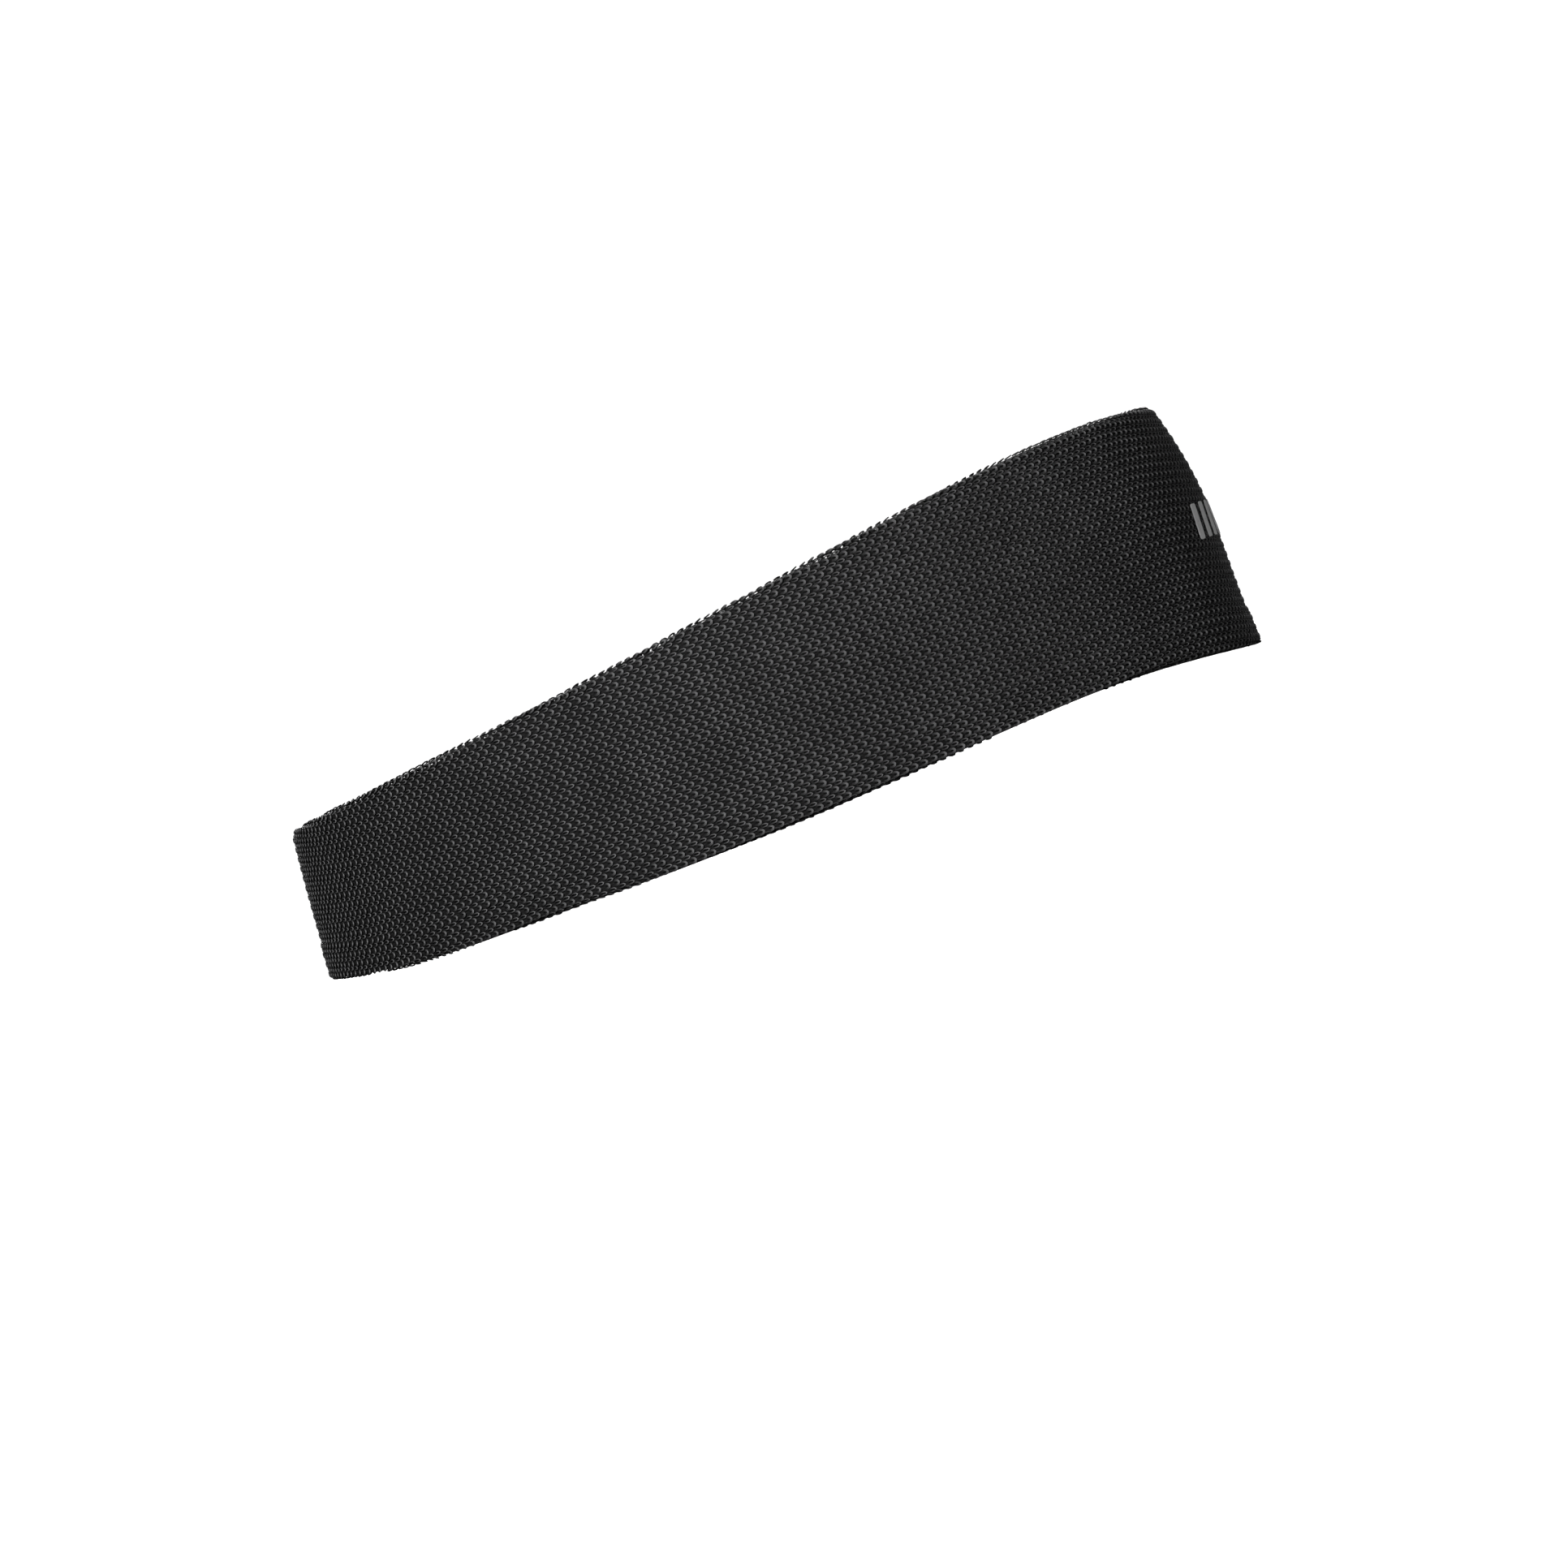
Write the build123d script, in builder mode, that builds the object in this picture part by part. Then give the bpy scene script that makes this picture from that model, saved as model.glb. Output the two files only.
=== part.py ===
from build123d import *
import os

# Sports headband: one closed loop of cloth, wide over the forehead and narrow at the nape.
# A mesh knit shell rolls over the top edge and is turned up inside the lower edge, where it is
# overlocked to a smooth lining. A sweat pad lies between the two at the forehead.
#
# Frame: +X towards the forehead, +Y to the wearer's left, +Z up. The loop stands on its lower edge,
# with the origin under the middle of its length. Millimetres.
# A depth is measured inwards from the loop's outer face. A drop is measured from one of its edges
# into the band.

# Loop, outside the cloth
loop_length = 201.4  # forehead to nape, at the lower edge
loop_width = 152.0  # side to side, at the lower edge

# Heights of the top edge, from the nape round to the forehead
nape_top = 35.6
behind_ear_top = 39.6
ear_top = 45.0
temple_top = 51.0
brow_top = 53.4
forehead_top = 53.1

# Heights of the lower edge, which touches down at the forehead and below each ear
nape_bottom = 4.6
nape_corner_bottom = 1.9
behind_ear_bottom = 0.6
temple_bottom = 1.9
brow_bottom = 2.7

# Lean of the wall
tuck_start = 25.0  # the wall is upright below this height at the forehead and sides
forehead_tuck = 3.9  # how far the forehead's top edge curls in
side_tuck = 2.0  # the same above the ears
nape_lean = 2.8  # how far in the nape's top edge stands from its lower edge

# Cloth
shell_cloth = 0.8
lining_cloth = 0.5
pad_cloth = 1.2
lay = 0.1  # clearance between two layers of cloth that lie on each other
thread = 0.35  # how far a flat seam's threads stand proud

# Edges and seams
top_turn = 10.0  # the shell reaches this far down inside the top edge
bottom_turn = 8.0  # both cloths turn up this far inside the lower edge
overlock_height = 1.0
flatlock_width = 5.0
back_seam_width = 4.4
seam_groove_width = 0.5
seam_groove_depth = 0.3

# Sweat pad
pad_end = 45.0  # its two ends lie at this X
pad_top_drop = 12.0
pad_bottom_drop = 10.0
pad_stitch_inset = 2.5
pad_stitch_width = 0.9

# Bar tacks that lock the ends of the back seam
tack_width = 2.0
tack_length = 4.0
tack_drop = 1.5

# Printed mark: a row of slanted bars round the middle of the forehead
mark_film = 0.15
mark_centre = 27.5
mark_bar_count = 9
mark_bar_pitch = 5.6
mark_bar_width = 3.0
mark_bar_height = 7.5
mark_bar_slant = 2.4  # sideways lean of each bar from its foot to its head

# Care label, which hangs from the top lining seam at the nape and swings on its sewn end
label_width = 18.0
label_length = 15.0
label_cloth = 0.5
label_gap = 1.1  # from the lining to the hanging label
label_swing_gap = 0.9  # from the sewn end down to the axis the label swings on
label_stitch_height = 1.2

half_length = loop_length / 2
half_width = loop_width / 2
fold_stack = 2 * shell_cloth + 2 * lining_cloth + 3 * lay
pad_stack = 2 * shell_cloth + pad_cloth + 2 * lay
band_thickness = max(fold_stack, pad_stack)
shell_flange_depth = shell_cloth + lay
lining_flange_depth = 2 * (shell_cloth + lay)
overshoot = 6.0  # how far a cutting shape runs past what it cuts

# The two edges, seen from the side
top_edge = [
    (-1.08 * half_length, nape_top - 0.6),
    (-0.5 * half_length, behind_ear_top),
    (0, ear_top),
    (0.5 * half_length, temple_top),
    (0.83 * half_length, brow_top),
    (1.08 * half_length, forehead_top - 0.4),
]
bottom_edge = [
    (-1.08 * half_length, nape_bottom + 2.4),
    (-half_length, nape_bottom),
    (-0.87 * half_length, nape_corner_bottom),
    (-0.6 * half_length, behind_ear_bottom),
    (-0.16 * half_length, 0),
    (0.4 * half_length, temple_bottom),
    (0.7 * half_length, brow_bottom),
    (half_length, 0),
    (1.08 * half_length, -1.2),
]
below_all = [(-1.08 * half_length, -overshoot), (1.08 * half_length, -overshoot)]
above_all = [(-1.08 * half_length, 2 * brow_top), (1.08 * half_length, 2 * brow_top)]


def tucked(height, amount):
    """How far in the wall has curled at a height, if its top edge curls in by amount."""
    share = max(0, (height - tuck_start) / (forehead_top - tuck_start))
    return amount * share**2


def nape_reach(height):
    """Distance from the origin back to the outer face of the nape at a height."""
    return half_length - nape_lean * (height - nape_bottom) / (nape_top - nape_bottom)


def filled_loop(depth):
    """Everything inside the loop's wall, starting from a depth under its outer face."""
    lowest = -2 * overshoot
    highest = brow_top + 2 * overshoot
    with BuildPart() as filled:
        for step in range(6):
            height = lowest + (highest - lowest) * step / 5
            front = half_length - tucked(height, forehead_tuck) - depth
            back = nape_reach(height) - depth
            side = half_width - tucked(height, side_tuck) - depth
            with BuildSketch(Plane.XY.offset(height)):
                with Locations(((front - back) / 2, 0)):
                    Ellipse((front + back) / 2, side)
        loft()
    return filled.part


def layer(outer_depth, inner_depth):
    """The part of the wall that lies between two depths, past both edges."""
    outer = filled_loop(outer_depth)
    inner = filled_loop(inner_depth)
    with BuildPart() as ring:
        add(outer)
        add(inner, mode=Mode.SUBTRACT)
    return ring.part


def lowered(edge, drop):
    """An edge moved down by drop."""
    return [(x, z - drop) for x, z in edge]


def slab(upper, lower):
    """The space between two curves seen from the side, across the whole width."""
    with BuildPart() as space:
        with BuildSketch(Plane.XZ):
            with BuildLine():
                ceiling = Spline(*upper)
                ground = Spline(*lower)
                Line(ceiling @ 0, ground @ 0)
                Line(ceiling @ 1, ground @ 1)
            make_face()
        extrude(amount=loop_width, both=True)
    return space.part


def between(top_drop, bottom_drop):
    """The space from one drop below the top edge to another drop above the lower edge."""
    under_top = slab(lowered(top_edge, top_drop), below_all)
    over_bottom = slab(above_all, lowered(bottom_edge, -bottom_drop))
    with BuildPart() as space:
        add(under_top)
        add(over_bottom, mode=Mode.INTERSECT)
    return space.part


def block(x_range, y_range):
    """A tall upright block over a range of X and of Y."""
    with BuildPart() as column:
        with BuildSketch(Plane.XY.offset(-2 * overshoot)):
            with Locations(((x_range[0] + x_range[1]) / 2, (y_range[0] + y_range[1]) / 2)):
                Rectangle(x_range[1] - x_range[0], y_range[1] - y_range[0])
        extrude(amount=brow_top + 4 * overshoot)
    return column.part


def top_strip(near, far):
    """The strip between two drops from the top edge."""
    return slab(lowered(top_edge, near), lowered(top_edge, far))


def bottom_strip(near, far):
    """The strip between two drops from the lower edge."""
    return slab(lowered(bottom_edge, -far), lowered(bottom_edge, -near))


def finish(piece, name):
    """Label a piece and write it."""
    piece.part.label = name
    export_step(piece.part, f"parts/{name}.step")


os.makedirs("parts", exist_ok=True)
nape_block_x = (-half_length - overshoot, 0)

# Mesh knit shell: the outer wall, its roll over the top edge, and its turned-up lower edge
shell_wall = layer(0, band_thickness)
shell_sides = between(0, 0)
shell_hollow = layer(lining_flange_depth - lay, band_thickness - shell_cloth)
shell_hollow_sides = slab(lowered(top_edge, shell_cloth), below_all)
flange_hollow = layer(shell_flange_depth - lay, lining_flange_depth - lay)
flange_hollow_sides = between(shell_cloth, bottom_turn)
flange_gap = layer(shell_cloth, shell_flange_depth)
flange_gap_sides = between(shell_cloth, shell_cloth)
inner_face = layer(band_thickness - shell_cloth, band_thickness + overshoot)
inner_face_sides = slab(lowered(top_edge, top_turn), below_all)
seam_groove = layer(-overshoot, seam_groove_depth)
seam_groove_block = block(nape_block_x, (-seam_groove_width / 2, seam_groove_width / 2))

with BuildPart() as hollow_core:
    add(shell_hollow)
    add(shell_hollow_sides, mode=Mode.INTERSECT)

with BuildPart() as hollow_above_flange:
    add(flange_hollow)
    add(flange_hollow_sides, mode=Mode.INTERSECT)

with BuildPart() as gap_behind_flange:
    add(flange_gap)
    add(flange_gap_sides, mode=Mode.INTERSECT)

with BuildPart() as open_inner_face:
    add(inner_face)
    add(inner_face_sides, mode=Mode.INTERSECT)

with BuildPart() as groove:
    add(seam_groove)
    add(seam_groove_block, mode=Mode.INTERSECT)

with BuildPart() as outer_shell:
    add(shell_wall)
    add(shell_sides, mode=Mode.INTERSECT)
    add(hollow_core.part, mode=Mode.SUBTRACT)
    add(hollow_above_flange.part, mode=Mode.SUBTRACT)
    add(gap_behind_flange.part, mode=Mode.SUBTRACT)
    add(open_inner_face.part, mode=Mode.SUBTRACT)
    add(groove.part, mode=Mode.SUBTRACT)
finish(outer_shell, "outer_shell")

# Smooth lining: the inner wall below the shell's roll, turned up inside the lower edge
lining_wall = layer(lining_flange_depth, band_thickness)
lining_sides = between(top_turn + lay, 0)
lining_back = layer(lining_flange_depth, band_thickness - lining_cloth)
lining_back_sides = between(0, bottom_turn)
lining_fold = layer(lining_flange_depth + lining_cloth, band_thickness - lining_cloth)
lining_fold_sides = between(0, lining_cloth)

with BuildPart() as above_lining_flange:
    add(lining_back)
    add(lining_back_sides, mode=Mode.INTERSECT)

with BuildPart() as inside_lining_fold:
    add(lining_fold)
    add(lining_fold_sides, mode=Mode.INTERSECT)

with BuildPart() as inner_lining:
    add(lining_wall)
    add(lining_sides, mode=Mode.INTERSECT)
    add(above_lining_flange.part, mode=Mode.SUBTRACT)
    add(inside_lining_fold.part, mode=Mode.SUBTRACT)
finish(inner_lining, "inner_lining")

# Overlocked edge that binds both turned-up cloths
overlock_layer = layer(shell_flange_depth, lining_flange_depth + lining_cloth)
overlock_strip = bottom_strip(bottom_turn + lay, bottom_turn + lay + overlock_height)

with BuildPart() as bottom_overlock:
    add(overlock_layer)
    add(overlock_strip, mode=Mode.INTERSECT)
finish(bottom_overlock, "bottom_overlock")

# Sweat pad between shell and lining, round the forehead
pad_layer = layer(shell_cloth + lay, shell_cloth + lay + pad_cloth)
pad_sides = between(pad_top_drop, pad_bottom_drop)
pad_block = block((pad_end, half_length + overshoot), (-half_width, half_width))

with BuildPart() as forehead_sweat_pad:
    add(pad_layer)
    add(pad_sides, mode=Mode.INTERSECT)
    add(pad_block, mode=Mode.INTERSECT)
finish(forehead_sweat_pad, "forehead_sweat_pad")

# Threads on the inner face: flatlock at the top of the lining, pad outline, back seam, tacks
thread_layer = layer(band_thickness, band_thickness + thread)
flatlock_strip = top_strip(top_turn - flatlock_width / 2, top_turn + flatlock_width / 2)

with BuildPart() as top_lining_seam:
    add(thread_layer)
    add(flatlock_strip, mode=Mode.INTERSECT)
finish(top_lining_seam, "top_lining_seam")

stitch_top_drop = max(pad_top_drop, top_turn + flatlock_width / 2) + pad_stitch_inset
stitch_bottom_drop = pad_bottom_drop + pad_stitch_inset
stitch_end = pad_end + pad_stitch_inset
stitch_sides = between(stitch_top_drop, stitch_bottom_drop)
stitch_block = block((stitch_end, half_length + overshoot), (-half_width, half_width))
inside_stitch_sides = between(
    stitch_top_drop + pad_stitch_width, stitch_bottom_drop + pad_stitch_width
)
inside_stitch_block = block(
    (stitch_end + pad_stitch_width, half_length + overshoot), (-half_width, half_width)
)

with BuildPart() as inside_stitching:
    add(inside_stitch_sides)
    add(inside_stitch_block, mode=Mode.INTERSECT)

with BuildPart() as pad_stitching:
    add(thread_layer)
    add(stitch_sides, mode=Mode.INTERSECT)
    add(stitch_block, mode=Mode.INTERSECT)
    add(inside_stitching.part, mode=Mode.SUBTRACT)
finish(pad_stitching, "pad_stitching")

tack_end_drop = tack_drop + tack_length
back_seam_sides = between(top_turn + flatlock_width / 2 + lay, tack_end_drop + lay)
back_seam_block = block(nape_block_x, (-back_seam_width / 2, back_seam_width / 2))

with BuildPart() as lining_back_seam:
    add(thread_layer)
    add(back_seam_sides, mode=Mode.INTERSECT)
    add(back_seam_block, mode=Mode.INTERSECT)
finish(lining_back_seam, "lining_back_seam")

top_tack_strip = top_strip(tack_drop, tack_end_drop)
bottom_tack_strip = bottom_strip(tack_drop, tack_end_drop)
tack_block = block(nape_block_x, (-tack_width / 2, tack_width / 2))

with BuildPart() as back_bar_tacks:
    add(top_tack_strip)
    add(bottom_tack_strip)
    add(thread_layer, mode=Mode.INTERSECT)
    add(tack_block, mode=Mode.INTERSECT)
finish(back_bar_tacks, "back_bar_tacks")

# Closing seam of the shell, flat between the two cloths at the nape
shell_seam_layer = layer(shell_cloth + lay, shell_cloth + lay + thread)
shell_seam_sides = between(shell_cloth + lay, bottom_turn + overlock_height + 2 * lay)

with BuildPart() as shell_back_seam:
    add(shell_seam_layer)
    add(shell_seam_sides, mode=Mode.INTERSECT)
    add(back_seam_block, mode=Mode.INTERSECT)
finish(shell_back_seam, "shell_back_seam")

# Printed mark on the outside of the forehead
mark_layer = layer(-mark_film, 0)

with BuildSketch() as mark_bar:
    with BuildLine():
        FilletPolyline(
            (-(mark_bar_width + mark_bar_slant) / 2, -mark_bar_height / 2),
            ((mark_bar_width - mark_bar_slant) / 2, -mark_bar_height / 2),
            ((mark_bar_width + mark_bar_slant) / 2, mark_bar_height / 2),
            (-(mark_bar_width - mark_bar_slant) / 2, mark_bar_height / 2),
            radius=mark_bar_width / 4,
            close=True,
        )
    make_face()

with BuildPart() as mark_bars:
    with BuildSketch(Plane.YZ.offset(half_length / 2)):
        with Locations((0, mark_centre)):
            with GridLocations(mark_bar_pitch, 1, mark_bar_count, 1):
                add(mark_bar.sketch)
    extrude(amount=half_length)

with BuildPart() as front_mark:
    add(mark_layer)
    add(mark_bars.part, mode=Mode.INTERSECT)
finish(front_mark, "front_mark")

# Care label and the stitching that holds its upper end under the lining seam
label_stitch_foot = nape_top - top_turn - flatlock_width / 2
label_axis_height = label_stitch_foot - label_swing_gap
label_face = band_thickness + label_gap - nape_reach(label_axis_height)
label_axis_x = label_face + label_cloth / 2
stitch_layer = layer(band_thickness + thread, band_thickness + label_gap)
label_stitch_block = block(nape_block_x, (-label_width / 2, label_width / 2))

with BuildPart() as label_stitching:
    with BuildSketch(Plane.XY.offset(label_stitch_foot)):
        Rectangle(2 * loop_length, loop_width)
    extrude(amount=label_stitch_height)
    add(stitch_layer, mode=Mode.INTERSECT)
    add(label_stitch_block, mode=Mode.INTERSECT)
finish(label_stitching, "label_stitching")

with BuildPart() as care_label:
    with BuildSketch(Plane.XY.offset(label_axis_height - label_length)):
        with Locations((label_axis_x, 0)):
            Rectangle(label_cloth, label_width)
    extrude(amount=label_length + label_cloth / 2)
    fillet(care_label.edges().filter_by(Axis.Y), radius=0.45 * label_cloth)
finish(care_label, "care_label")

print(f"band thickness {band_thickness:.2f}")
print(f"label swings about x {label_axis_x:.2f}, z {label_axis_height:.2f}")
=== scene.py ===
"""Looks of a black knit sports headband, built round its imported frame.

The loop stands on its lower edge with the forehead towards +X. Every length is in metres. A travel is
a distance round the loop from the nape, past the wearer's right ear to the forehead and back. A climb
is a distance across the cloth from the loop's middle line: up the outside, over the top edge and down
the inside.
"""
import logging
import math
from dataclasses import dataclass
from enum import Enum
from typing import Callable

import bpy
import numpy as np
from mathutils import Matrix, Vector


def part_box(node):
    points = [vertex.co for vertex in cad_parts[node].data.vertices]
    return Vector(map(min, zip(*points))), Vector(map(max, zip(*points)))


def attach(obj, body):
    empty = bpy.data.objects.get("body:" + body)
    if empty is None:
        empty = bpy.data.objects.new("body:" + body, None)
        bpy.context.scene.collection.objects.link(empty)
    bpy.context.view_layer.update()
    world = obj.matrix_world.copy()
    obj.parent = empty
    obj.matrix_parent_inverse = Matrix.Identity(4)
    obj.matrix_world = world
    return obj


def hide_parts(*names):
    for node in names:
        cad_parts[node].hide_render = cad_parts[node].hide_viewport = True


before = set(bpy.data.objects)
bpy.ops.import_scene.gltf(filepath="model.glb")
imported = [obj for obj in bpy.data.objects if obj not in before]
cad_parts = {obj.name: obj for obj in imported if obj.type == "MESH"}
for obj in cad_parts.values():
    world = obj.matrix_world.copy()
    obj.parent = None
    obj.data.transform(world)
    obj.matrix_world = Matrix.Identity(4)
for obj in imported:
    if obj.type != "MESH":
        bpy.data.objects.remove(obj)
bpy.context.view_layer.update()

MM = 0.001
BAND = "band"
LABEL = "label"
LOG = logging.getLogger("headband")

Socket = bpy.types.NodeSocket
Points = np.ndarray
Surface = Callable[[Points, Points], Points]  # a point for a travel and a second distance
Place = tuple[Points, Points, Points]  # points, ways along and ways out of the cloth
# What a thread's mesh keeps for its finish: the place round the thread and the way along it.
THREAD_MARKS = {"ring": ("FLOAT_VECTOR", "vector", 3), "way": ("FLOAT", "value", 1)}


class ThreadLie(Enum):
    """How a short thread lies on the cloth."""

    LOOP = "a loop in the plane of the cloth, its head forwards"
    ARCH = "an arch that dips into the cloth at both ends"

    @property
    def top(self) -> float:
        """Angle round the thread at which its top lies."""
        return -math.pi / 2 if self is ThreadLie.LOOP else 0.0


class Section(Enum):
    """The stretches of the loop that the knit is made in, each as (start, end) shares of its way round."""

    NAPE_RIGHT = (0.0, 1 / 8)
    EAR_RIGHT = (1 / 8, 2 / 8)
    TEMPLE_RIGHT = (2 / 8, 3 / 8)
    FOREHEAD_RIGHT = (3 / 8, 4 / 8)
    FOREHEAD_LEFT = (4 / 8, 5 / 8)
    TEMPLE_LEFT = (5 / 8, 6 / 8)
    EAR_LEFT = (6 / 8, 7 / 8)
    NAPE_LEFT = (7 / 8, 1.0)


# ---------------------------------------------------------------------------------- shape


class EdgeCurve:
    """A smooth curve through a few points of an edge, seen from the side."""

    def __init__(self, points: list[tuple[float, float]]) -> None:
        """Fit a natural cubic through the points.

        Args:
            points: (x, z) pairs in rising x.
        """
        self.x, self.z = np.array(points).T
        gaps, steps = np.diff(self.x), np.diff(self.z)
        count = len(self.x)
        system, right = np.eye(count), np.zeros(count)
        for i in range(1, count - 1):
            system[i, i - 1 : i + 2] = gaps[i - 1], 2 * (gaps[i - 1] + gaps[i]), gaps[i]
            right[i] = 6 * (steps[i] / gaps[i] - steps[i - 1] / gaps[i - 1])
        self.bend = np.linalg.solve(system, right)

    def __call__(self, x: Points) -> Points:
        """Height of the edge at x."""
        i = np.clip(np.searchsorted(self.x, x) - 1, 0, len(self.x) - 2)
        gap, left, right = self.x[i + 1] - self.x[i], x - self.x[i], self.x[i + 1] - x
        curved = (self.bend[i] * right**3 + self.bend[i + 1] * left**3) / (6 * gap)
        straight_left = (self.z[i] / gap - self.bend[i] * gap / 6) * right
        straight_right = (self.z[i + 1] / gap - self.bend[i + 1] * gap / 6) * left
        return curved + straight_left + straight_right


@dataclass(frozen=True)
class LoopSizes:
    """Sizes of the band's wall."""

    half_length: float
    half_width: float
    thickness: float = 3.0 * MM
    nape_top: float = 35.6 * MM
    nape_bottom: float = 4.6 * MM
    forehead_top: float = 53.1 * MM
    brow_top: float = 53.4 * MM
    tuck_start: float = 25.0 * MM
    forehead_tuck: float = 3.9 * MM
    side_tuck: float = 2.0 * MM
    nape_lean: float = 2.8 * MM
    top_roll: float = 1.5 * MM
    bottom_roll: float = 0.9 * MM
    top_turn: float = 10.0 * MM
    bottom_turn: float = 8.0 * MM
    middle_height: float = 23.4 * MM
    middle_rise: float = 0.0325
    nape_arch: float = 3.6 * MM  # the rows arch up over the nape
    forehead_dip: float = 3.2 * MM  # and sag at the middle of the forehead
    bend_reach: float = 15.0 * MM
    loft: float = 0.22 * MM  # how far the knit's stitches stand out of the wall


class LoopWall:
    """The wall of the band, which every piece is laid on."""

    def __init__(self, sizes: LoopSizes) -> None:
        """Work out the edges and the way round.

        Args:
            sizes: the wall's sizes.
        """
        self.s = sizes
        far = sizes.half_length
        self.top = EdgeCurve([
            (-1.08 * far, sizes.nape_top - 0.6 * MM),
            (-0.5 * far, 39.6 * MM),
            (0.0, 45.0 * MM),
            (0.5 * far, 51.0 * MM),
            (0.83 * far, sizes.brow_top),
            (1.08 * far, sizes.forehead_top - 0.4 * MM),
        ])
        self.bottom = EdgeCurve([
            (-1.08 * far, sizes.nape_bottom + 2.4 * MM),
            (-far, sizes.nape_bottom),
            (-0.87 * far, 1.9 * MM),
            (-0.6 * far, 0.6 * MM),
            (-0.16 * far, 0.0),
            (0.4 * far, 1.9 * MM),
            (0.7 * far, 2.7 * MM),
            (far, 0.0),
            (1.08 * far, -1.2 * MM),
        ])
        turn = np.linspace(math.pi, 3 * math.pi, 4001)
        x, y = far * np.cos(turn), sizes.half_width * np.sin(turn)
        steps = np.hypot(np.diff(x), np.diff(y))
        self.turns, self.travels = turn, np.concatenate([[0.0], np.cumsum(steps)])
        self.around = float(self.travels[-1])

    def angle(self, travel: Points) -> Points:
        """Angle round the oval after a travel from the nape."""
        return np.interp(np.mod(travel, self.around), self.travels, self.turns)

    def side_x(self, travel: Points) -> Points:
        """X of the outer face after a travel."""
        return self.s.half_length * np.cos(self.angle(travel))

    def travel_to(self, x: float) -> float:
        """The travel on the right side at which the outer face reaches an x."""
        half = self.travels[: len(self.travels) // 2 + 1]
        return float(np.interp(x, self.side_x(half), half))

    def middle(self, travel: Points) -> Points:
        """Height of the middle line that the knit's rows run along."""
        s, x = self.s, self.side_x(travel)
        nape = np.maximum(1.0 - (s.half_length + x) / s.bend_reach, 0.0) ** 1.5
        forehead = np.maximum(1.0 - (s.half_length - x) / s.bend_reach, 0.0) ** 1.5
        return s.middle_height + s.middle_rise * x + s.nape_arch * nape - s.forehead_dip * forehead

    def tucked(self, height: Points, amount: float) -> Points:
        """How far in the wall has curled at a height."""
        share = (height - self.s.tuck_start) / (self.s.forehead_top - self.s.tuck_start)
        return amount * np.maximum(share, 0.0) ** 2

    def place(self, travel: Points, height: Points, depth: Points) -> Points:
        """Point of the wall.

        Args:
            travel: distance round from the nape.
            height: height above the surface that the band stands on.
            depth: distance in from the outer face.

        Returns:
            An array whose last axis is x, y, z.
        """
        s, turn = self.s, self.angle(travel)
        front = s.half_length - self.tucked(height, s.forehead_tuck) - depth
        lean = s.nape_lean * (height - s.nape_bottom) / (s.nape_top - s.nape_bottom)
        back = s.half_length - lean - depth
        side = s.half_width - self.tucked(height, s.side_tuck) - depth
        x = (front - back) / 2 + (front + back) / 2 * np.cos(turn)
        return np.stack([x, side * np.sin(turn), height + 0 * turn], axis=-1)

    def wave(self, travel: Points, height: Points) -> Points:
        """Soft unevenness of the filled-out cloth, outwards."""
        t, h = travel / self.around * 2 * math.pi, height / (40 * MM)
        swell = 0.22 * np.sin(5 * t + 2.1 * h + 0.7) + 0.16 * np.sin(9 * t - 3.4 * h + 2.0)
        return (swell + 0.10 * np.sin(14 * t + 5.2 * h + 4.1)) * MM

    def climb_ends(self, travel: Points) -> tuple[Points, Points]:
        """How far the flat outside runs up and down from the middle line before each roll."""
        x, middle = self.side_x(travel), self.middle(travel)
        up = self.top(x) - self.s.top_roll - middle
        down = middle - self.bottom(x) - self.s.bottom_roll
        return up, down

    def shell(self, travel: Points, climb: Points, sunk: float = 0.0) -> Points:
        """Point of the mesh knit's outer side.

        Args:
            travel: distance round from the nape.
            climb: distance across the cloth from the middle line.
            sunk: how far under the knit's outer side the point lies.

        Returns:
            An array whose last axis is x, y, z.
        """
        s, (up, down) = self.s, self.climb_ends(travel)
        over = np.maximum(climb - up, 0.0)
        under = np.maximum(-climb - down, 0.0)
        top_turn = np.minimum(over / s.top_roll, math.pi)
        low_turn = np.minimum(under / s.bottom_roll, math.pi)
        inside = np.maximum(over - math.pi * s.top_roll, 0.0)
        flange = np.maximum(under - math.pi * s.bottom_roll, 0.0)
        flat = np.clip(climb, -down, up)
        top_radius = s.top_roll + s.loft * np.sin(top_turn) - sunk
        low_radius = s.bottom_roll - sunk
        height = self.middle(travel) + flat - inside + flange
        height = height + top_radius * np.sin(top_turn) - low_radius * np.sin(low_turn)
        depth = sunk + top_radius * (1 - np.cos(top_turn)) + low_radius * (1 - np.cos(low_turn))
        seam = np.clip((s.bottom_turn - (climb + down + s.bottom_roll)) / (1.5 * MM), 0.0, 1.0)
        outside = np.cos(top_turn / 2) ** 2
        depth = depth - outside * (s.loft + self.wave(travel, height) + 0.35 * MM * seam)
        return self.place(travel, height, depth)

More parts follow.
